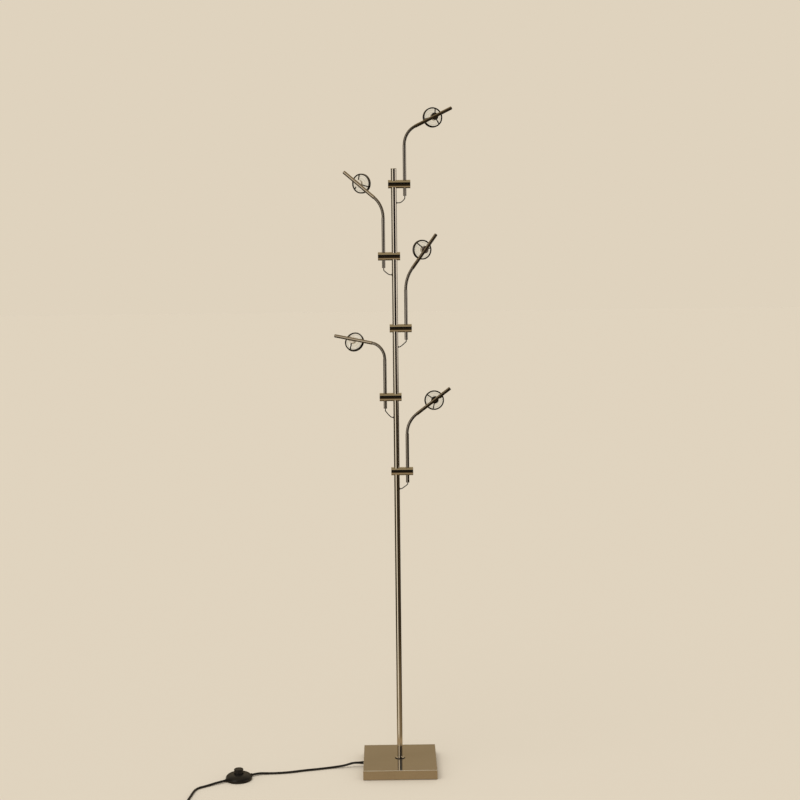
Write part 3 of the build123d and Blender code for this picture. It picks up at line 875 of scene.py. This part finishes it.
COIL_CENTRE = Vector((-0.512, -0.304, 0))
COIL_RADIUS = 0.044
COIL_PITCH = 0.0065
COIL_HALF_TURNS = 5
COIL_CLIMB_STEP = 0.0013
COIL_STEPS = 8  # points in each half turn


def coil_radius(half_turn):
    """Radius at each half turn: spiral in below, climb, spiral out above."""
    inward = half_turn
    if half_turn > COIL_HALF_TURNS:
        inward = 2 * COIL_HALF_TURNS + 1 - half_turn
    radius = COIL_RADIUS - inward * COIL_PITCH / 2
    return radius - COIL_CLIMB_STEP if inward == COIL_HALF_TURNS else radius


def coil_points():
    """The coil's turns and the short tail to the plug."""
    bulge = 1 / cos(pi / COIL_STEPS / 2)
    points = []
    last = 2 * COIL_HALF_TURNS
    for step in range(last * COIL_STEPS + COIL_STEPS // 2 + 1):
        half_turn, part = divmod(step / COIL_STEPS, 1)
        here = coil_radius(half_turn)
        there = coil_radius(half_turn + 1) if half_turn < last else COIL_RADIUS
        climb = min(max(step / COIL_STEPS - COIL_HALF_TURNS, 0), 1)
        height = CORD_RADIUS + COIL_PITCH * climb * climb * (3 - 2 * climb)
        angle = pi * (1 + step / COIL_STEPS)
        radius = (here + (there - here) * part) * bulge
        points.append(COIL_CENTRE + Vector((radius * cos(angle), radius * sin(angle), height)))
    leave = points[-1]
    points += [leave + Vector(offset) for offset in (
        (0.012, -0.0005, -0.0003), (0.024, -0.004, -0.0024), (0.032, -0.005, -0.0027),
        (0.038, -0.005, -0.0027),
    )]
    return [tuple(point) for point in points]


def cords():
    """Relief at the base, the cord's two free stretches with the switch between, and the plug."""
    sleeve = relief()
    switch = foot_switch()
    first = route("cord_to_switch", CORD_IN, CORD_RADIUS, cord_black, "root", ["mains_cord"])
    points = CORD_OUT + coil_points()
    second = route(
        "cord_to_plug", points, CORD_RADIUS, cord_black, "root", ["mains_cord_out", "cord_coil"]
    )
    plug_pieces = plug(Vector(points[-1]))


def relief():
    """Tapered sleeve with shallow grooves, its flange inside the cover."""
    origin = Vector((0, 0, RELIEF_HEIGHT))
    start, end, _ = reach("cord_relief", origin, LEFT)
    low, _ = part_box("base_cover")
    wall = -low.x
    outline = [(0, start), (CORD_RADIUS, start), (CORD_RADIUS, wall - RELIEF_INSIDE)]
    outline += [(RELIEF_FLANGE, wall - RELIEF_INSIDE), (RELIEF_FLANGE, wall - COVER_WALL)]
    outline += [(RELIEF_RADIUS, wall - COVER_WALL), (RELIEF_RADIUS, wall + RELIEF_PLAIN)]
    for rib in range(RELIEF_RIBS):
        at = wall + RELIEF_PLAIN + (end - wall - 2 * RELIEF_PLAIN) * rib / RELIEF_RIBS
        size = RELIEF_RADIUS - (RELIEF_RADIUS - CORD_RADIUS) * rib / RELIEF_RIBS
        outline += [
            (size, at + 0.0008), (size - 0.0006, at + 0.0011), (size - 0.0006, at + 0.0017),
            (size - 0.0002, at + 0.002),
        ]
    outline += [(CORD_RADIUS + 0.0002, end - 0.001), (CORD_RADIUS, end), (0, end)]
    bm = lathe(outline, SMALL_SIDES)
    return piece(
        "cord_sleeve", bm, cord_black, "root", ["cord_relief"], placed(origin, LEFT), 0
    )


# ------------------------------------------------------------------ foot switch
SWITCH_RIM = 0.005
SWITCH_TOP_RADIUS = 0.0155
SWITCH_WALL = 0.0025
SWITCH_EDGE = 0.0008
SWITCH_FOOT = 0.0006
BUTTON_GAP = 0.0002
BUTTON_DISH = 0.0006
BUTTON_EDGE = 0.0018
NUB_RADIUS = 0.0046
NUB_INSIDE = 0.004


def foot_switch():
    """Domed cover with a nub at each cord, flat base and tall round button."""
    origin = SWITCH_CENTRE
    low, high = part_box("switch_cover")
    _, _, base_radius = reach("switch_base", origin, UP)
    radius = base_radius + SWITCH_WALL
    button_low, button_top, button_radius = reach("switch_button", origin, UP)
    hole = button_radius + BUTTON_GAP
    outline = [(radius - SWITCH_WALL, low.z), (radius - SWITCH_FOOT, low.z)]
    outline += [(radius, low.z + SWITCH_EDGE)]
    outline += arc(radius, SWITCH_RIM, SWITCH_TOP_RADIUS, high.z, 14)
    outline += [(hole + SWITCH_EDGE, high.z), (hole, high.z - SWITCH_EDGE)]
    outline += [(hole, high.z - SWITCH_WALL)]
    outline += [(radius - SWITCH_WALL, SWITCH_RIM)]
    place = Matrix.Translation(origin)
    cover = piece(
        "switch_dome", lathe(outline), switch_black, "root", ["switch_cover"], place, 0
    )
    edge_height = button_top - BUTTON_EDGE
    outline = [(0, button_low), (button_radius, button_low)]
    outline += arc(button_radius, edge_height, button_radius - BUTTON_EDGE, button_top, 6)
    outline += [(0.6 * button_radius, button_top - BUTTON_DISH * 0.6), (0, button_top - BUTTON_DISH)]
    button = piece(
        "switch_push_button", lathe(outline, 72), switch_black, "button", ["switch_button"], place, 0
    )
    dress("switch_base", switch_black)
    nubs = [switch_nub(number, sign, radius) for number, sign in ((1, 1), (2, -1))]
    return [cover, button, frame["nodes"]["switch_base"], *nubs]


def switch_nub(number, sign, radius):
    """Grooved nub through which the cord leaves the cover, whose radius is given."""
    inside = radius - NUB_INSIDE
    outline = [(0, inside), (NUB_RADIUS, inside), (NUB_RADIUS, radius + 0.0012)]
    outline += [(NUB_RADIUS - 0.0008, radius + 0.0016), (NUB_RADIUS - 0.0008, radius + 0.0024)]
    outline += [(NUB_RADIUS - 0.0002, radius + 0.0028), (NUB_RADIUS - 0.0005, radius + 0.0038)]
    outline += [(CORD_RADIUS + 0.0003, NUB_REACH), (0, NUB_REACH)]
    place = placed(SWITCH_CENTRE + UP * CORD_AT_SWITCH, SWITCH_DIRECTION * sign)
    bm = lathe(outline, SMALL_SIDES)
    return piece(f"switch_nub_{number}", bm, switch_black, "root", (), place, 0)


# ------------------------------------------------------------------ plug
PLUG_RELIEF = 0.014
PLUG_LENGTH = 0.034
PLUG_WIDTH = 0.026
PLUG_BACK_WIDTH = 0.013
PLUG_THICKNESS = 0.0136
PLUG_WIDEST_AT = 0.45  # share of its length
PLUG_EDGE = 0.0012
GRIPS = 4
GRIP_START = 0.004
GRIP_PITCH = 0.003
PLUG_RIBS = 4
PLUG_RIB_PITCH = 0.0032
PIN_RADIUS = 0.002
PIN_SPACING = 0.019
PIN_LENGTH = 0.019
PIN_SLEEVE = 0.010


def plug(start):
    """Flat two-pin plug at the cord's end; returns its pieces."""
    front = PLUG_RELIEF + PLUG_LENGTH
    pieces = [plug_body(start, front), plug_neck(start)]
    for number, y in enumerate((-PIN_SPACING / 2, PIN_SPACING / 2), 1):
        pieces += plug_pin(number, placed(start + Vector((front, y, 0)), RIGHT))
    return pieces


def plug_body(start, front):
    """Moulded body, wider towards the pins, with grips across both faces."""
    widest = PLUG_RELIEF + PLUG_LENGTH * PLUG_WIDEST_AT
    half, back = PLUG_WIDTH / 2, PLUG_BACK_WIDTH / 2
    outline = [
        (PLUG_RELIEF, -back), (widest, -half), (front, -half), (front, half), (widest, half),
        (PLUG_RELIEF, back),
    ]
    bm = bmesh.new()
    bottom = [bm.verts.new((x, y, -PLUG_THICKNESS / 2)) for x, y in outline]
    top = [bm.verts.new((x, y, PLUG_THICKNESS / 2)) for x, y in outline]
    bm.faces.new(bottom)
    bm.faces.new(top)
    for corner in range(len(outline)):
        bm.faces.new([bottom[corner - 1], bottom[corner], top[corner], top[corner - 1]])
    grips = []
    for index in range(GRIPS):
        x = PLUG_RELIEF + GRIP_START + GRIP_PITCH * index
        for sign in (1, -1):
            groove = box_mesh(0.0012, PLUG_WIDTH * 0.32, 0.002, (x, 0, -0.001))
            groove.transform(Matrix.Translation((0, 0, sign * PLUG_THICKNESS / 2)))
            grips.append(groove)
    place = Matrix.Translation(start)
    bm = cut(bm, *grips)
    return piece("plug_body", bm, switch_black, "root", ["mains_plug"], place, PLUG_EDGE, 3)


def plug_neck(start):
    """Ribbed neck that holds the cord."""
    outline = [(0, 0), (CORD_RADIUS + 0.0002, 0)]
    for rib in range(PLUG_RIBS):
        at = 0.0015 + PLUG_RIB_PITCH * rib
        size = CORD_RADIUS + 0.0003 + 0.0003 * rib
        outline += [(size, at), (size + 0.0004, at + 0.0003), (size + 0.0004, at + 0.0017)]
        outline += [(size, at + 0.002)]
    outline += [(0.0042, PLUG_RELIEF + 0.001), (0, PLUG_RELIEF + 0.001)]
    bm = lathe(outline, SMALL_SIDES)
    return piece("plug_neck", bm, switch_black, "root", (), placed(start, RIGHT), 0)


def plug_pin(number, place):
    """Pin with an insulated root and a round tip; returns both pieces."""
    outline = [(0, -0.002), (PIN_RADIUS, -0.002), (PIN_RADIUS, PIN_SLEEVE), (0, PIN_SLEEVE)]
    bm = lathe(outline, SMALL_SIDES)
    sleeve = piece(f"plug_pin_sleeve_{number}", bm, switch_black, "root", (), place, 0)
    tip = PIN_RADIUS - 0.0001
    outline = [(0, PIN_SLEEVE), (tip, PIN_SLEEVE)]
    outline += arc(tip, PIN_LENGTH - 0.0015, 0, PIN_LENGTH, 6)[:-1] + [(0, PIN_LENGTH)]
    bm = lathe(outline, SMALL_SIDES)
    return [sleeve, piece(f"plug_pin_{number}", bm, pin_metal, "root", (), place, 0)]


# ------------------------------------------------------------------ stage, camera and light
FLOOR_COLOUR = (0.74, 0.65, 0.515)
FLOOR_SIZE = 60.0
CAMERA_PLACE = (-0.0196, -3.7394, 1.4119)
CAMERA_YAW, CAMERA_PITCH, CAMERA_ROLL = radians(0.462), radians(6.010), radians(-0.616)
CAMERA_LENS = 63.0
AMBIENT = 0.74
SUN_STRENGTH = 0.95

# The studio as polished metal sees it. Bands of colour round the horizon, with the azimuth in
# degrees, 0 towards the viewer and positive to the right: at eye level, above it and below it.
EYE_LEVEL_BANDS = [
    (-180, (0.06, 0.05, 0.03)),
    (-144, (0.06, 0.05, 0.03)),
    (-140, (0.90, 0.84, 0.74)),
    (-130, (0.90, 0.84, 0.74)),
    (-126, (0.06, 0.05, 0.03)),
    (-62, (0.11, 0.09, 0.055)),
    (-56, (1.25, 1.17, 1.05)),
    (-30, (1.25, 1.17, 1.05)),
    (-22, (0.003, 0.003, 0.003)),
    (32, (0.003, 0.003, 0.003)),
    (38, (0.12, 0.095, 0.085)),
    (58, (0.16, 0.13, 0.115)),
    (64, (1.35, 1.25, 1.15)),
    (88, (1.35, 1.25, 1.15)),
    (98, (0.02, 0.016, 0.012)),
    (126, (0.02, 0.016, 0.012)),
    (130, (0.90, 0.84, 0.74)),
    (140, (0.90, 0.84, 0.74)),
    (144, (0.06, 0.05, 0.03)),
    (180, (0.06, 0.05, 0.03)),
]
HIGH_BANDS = [
    (-180, (0.34, 0.27, 0.16)),
    (-105, (0.34, 0.27, 0.16)),
    (-80, (0.16, 0.125, 0.075)),
    (-58, (0.06, 0.048, 0.03)),
    (-50, (1.25, 1.17, 1.05)),
    (-20, (1.25, 1.17, 1.05)),
    (-12, (0.012, 0.010, 0.007)),
    (70, (0.012, 0.010, 0.007)),
    (95, (0.14, 0.11, 0.065)),
    (112, (0.34, 0.27, 0.16)),
    (180, (0.34, 0.27, 0.16)),
]
LOW_BANDS = [
    (-180, (0.05, 0.038, 0.018)),
    (-144, (0.05, 0.038, 0.018)),
    (-138, (0.60, 0.52, 0.38)),
    (-132, (0.60, 0.52, 0.38)),
    (-126, (0.05, 0.038, 0.018)),
    (-58, (0.05, 0.038, 0.018)),
    (-50, (1.15, 1.05, 0.88)),
    (-22, (1.15, 1.05, 0.88)),
    (-14, (0.03, 0.02, 0.01)),
    (70, (0.05, 0.035, 0.018)),
    (180, (0.05, 0.038, 0.018)),
]
CEILING = (0.42, 0.335, 0.20)
WALL_LOW, WALL_HIGH = (0.40, 0.31, 0.185), (0.62, 0.52, 0.36)
LIT_FLOOR = (0.46, 0.345, 0.205)
DARK_FLOOR = (0.05, 0.038, 0.02)

# Where the floor in front of the lamp is lit, as polished metal sees it: distances in metres at
# which it is dark and fully lit, and the directions in which it isn't.
LIT_EDGE = (1.4, 0.35)
CLOSE_EDGE = (0.30, 0.22)
BEHIND_SHADE = (0.25, 0.0)
GAP_FROM, GAP_TO, GAP_EDGE = radians(-60), radians(-14), radians(4)  # a light panel's foot
RIGHT_SHADE = (radians(4), radians(18))
RIGHT_DIM = 0.5


def stage():
    """Pale floor, which polished metal sees lit before the lamp and close round its base."""
    bm = bmesh.new()
    bmesh.ops.create_grid(bm, x_segments=1, y_segments=1, size=FLOOR_SIZE / 2)
    floor = loose_object("floor", bm)
    material = bpy.data.materials.new("floor")
    material.use_nodes = True
    tree = material.node_tree
    shader = tree.nodes["Principled BSDF"]
    shader.inputs["Base Color"].default_value = (*FLOOR_COLOUR, 1)
    shader.inputs["Roughness"].default_value = 1.0
    shader.inputs["Specular IOR Level"].default_value = 0.0

    nodes = Nodes(tree)
    calculate, ramp = nodes.calculate, nodes.ramp

    def mix(factor, first, second):
        return nodes.add("ShaderNodeMixShader", factor, first, second).outputs["Shader"]

    coordinates = nodes.add("ShaderNodeTexCoord")
    axes = nodes.add("ShaderNodeSeparateXYZ", coordinates.outputs["Object"])
    x, y = axes.outputs["X"], axes.outputs["Y"]
    squares = calculate("ADD", calculate("MULTIPLY", x, x), calculate("MULTIPLY", y, y))
    distance = calculate("SQRT", squares, 0.0)
    azimuth = calculate("ARCTAN2", x, calculate("MULTIPLY", y, -1.0))
    before = ramp(azimuth, GAP_FROM, GAP_FROM - GAP_EDGE)
    after = ramp(azimuth, GAP_TO, GAP_TO + GAP_EDGE)
    right = calculate("MULTIPLY", ramp(azimuth, *RIGHT_SHADE), RIGHT_DIM)
    sides = calculate("SUBTRACT", calculate("MAXIMUM", before, after), right)
    front = calculate("MULTIPLY", sides, ramp(y, *BEHIND_SHADE))
    lit = calculate("MAXIMUM", calculate("MULTIPLY", front, ramp(distance, *LIT_EDGE)),
                    ramp(distance, *CLOSE_EDGE))
    path = nodes.add("ShaderNodeLightPath")
    clear = nodes.add("ShaderNodeBsdfTransparent")
    glow = nodes.add("ShaderNodeEmission", (*LIT_FLOOR, 1))
    mirrored = mix(lit, clear.outputs["BSDF"], glow.outputs["Emission"])
    shown = mix(path.outputs["Is Glossy Ray"], shader.outputs["BSDF"], mirrored)
    tree.links.new(shown, tree.nodes["Material Output"].inputs["Surface"])
    floor.data.materials.append(material)


def camera():
    """Camera at the height and the tilt at which the lamp is seen from the front."""
    right = Vector((cos(CAMERA_YAW), -sin(CAMERA_YAW), 0))
    level = Vector((sin(CAMERA_YAW), cos(CAMERA_YAW), 0))
    ahead = level * cos(CAMERA_PITCH) - UP * sin(CAMERA_PITCH)
    above = right.cross(ahead)
    x_axis = right * cos(CAMERA_ROLL) + above * sin(CAMERA_ROLL)
    y_axis = above * cos(CAMERA_ROLL) - right * sin(CAMERA_ROLL)
    data = bpy.data.cameras.new("camera")
    data.lens = CAMERA_LENS
    data.sensor_width = 36.0
    obj = bpy.data.objects.new("camera", data)
    turn = Matrix((x_axis, y_axis, -ahead)).transposed().to_4x4()
    obj.matrix_world = Matrix.Translation(CAMERA_PLACE) @ turn
    bpy.context.scene.collection.objects.link(obj)
    bpy.context.scene.camera = obj


def sun():
    """Soft light from the upper left, which polished metal doesn't mirror."""
    data = bpy.data.lights.new("sun", "SUN")
    data.energy = SUN_STRENGTH
    data.angle = radians(40)
    obj = bpy.data.objects.new("sun", data)
    obj.matrix_world = placed(Vector((-2, -2, 4)), Vector((-0.30, -0.35, 0.9)))
    obj.visible_glossy = False
    bpy.context.scene.collection.objects.link(obj)


def world():
    """Even soft light, with a plain pale backdrop for the camera and the glass, and for metal a
    studio that is dark round the viewer, with light panels at the sides and a lit wall behind."""
    made = bpy.data.worlds.new("studio")
    bpy.context.scene.world = made
    made.use_nodes = True
    tree = made.node_tree
    tree.nodes.clear()
    nodes = Nodes(tree)
    calculate, mix = nodes.calculate, nodes.mix

    def ramp(value, low, high):
        return nodes.ramp(value, low, high, "SMOOTHSTEP")

    def above(degrees, width=4.0):
        """0 below an elevation and 1 above it, over a width in degrees."""
        return ramp(z, sin(radians(degrees - width / 2)), sin(radians(degrees + width / 2)))

    def bands(stops):
        added = nodes.add("ShaderNodeValToRGB", azimuth)
        elements = added.color_ramp.elements
        elements[0].position, elements[1].position = 0.0, 1.0
        for degrees, colour in stops[1:-1]:
            elements.new(0.5 + degrees / 360).color = (*colour, 1)
        elements[0].color, elements[-1].color = (*stops[0][1], 1), (*stops[-1][1], 1)
        return added.outputs["Color"]

    coordinates = nodes.add("ShaderNodeTexCoord")
    axes = nodes.add("ShaderNodeSeparateXYZ", coordinates.outputs["Generated"])
    x, y, z = (axes.outputs[name] for name in ("X", "Y", "Z"))
    angle = calculate("ARCTAN2", x, calculate("MULTIPLY", y, -1.0))
    azimuth = nodes.add("ShaderNodeMapRange", angle, -pi, pi).outputs["Result"]

    seen = mix(above(-5), bands(LOW_BANDS), bands(EYE_LEVEL_BANDS))
    seen = mix(above(11), seen, bands(HIGH_BANDS))
    behind = ramp(y, 0.15, 0.45)
    seen = mix(above(-62), mix(ramp(y, -0.1, 0.1), LIT_FLOOR, DARK_FLOOR), seen)
    seen = mix(above(46), seen, CEILING)
    wall = mix(above(30), WALL_LOW, WALL_HIGH)
    wall = mix(above(50), wall, CEILING)
    seen = mix(calculate("MULTIPLY", behind, above(12)), seen, wall)

    path = nodes.add("ShaderNodeLightPath")
    plain = calculate("MAXIMUM", path.outputs["Is Camera Ray"], path.outputs["Is Transmission Ray"])
    lit = mix(path.outputs["Is Glossy Ray"], (AMBIENT,) * 3, seen)
    shown = mix(plain, lit, FLOOR_COLOUR)
    background = nodes.add("ShaderNodeBackground", shown)
    output = nodes.add("ShaderNodeOutputWorld")
    tree.links.new(background.outputs["Background"], output.inputs["Surface"])


# ------------------------------------------------------------------ the lamp
stage()
camera()
sun()
world()
bpy.context.scene.view_settings.view_transform = "Standard"

arms = [Arm(number) for number in range(1, ARM_COUNT + 1)]
cords()
base()
pole(arms)
clamps(arms)
for arm in arms:
    arm_tube(arm)
    neck(arm)
    lead(arm)
    head(arm)
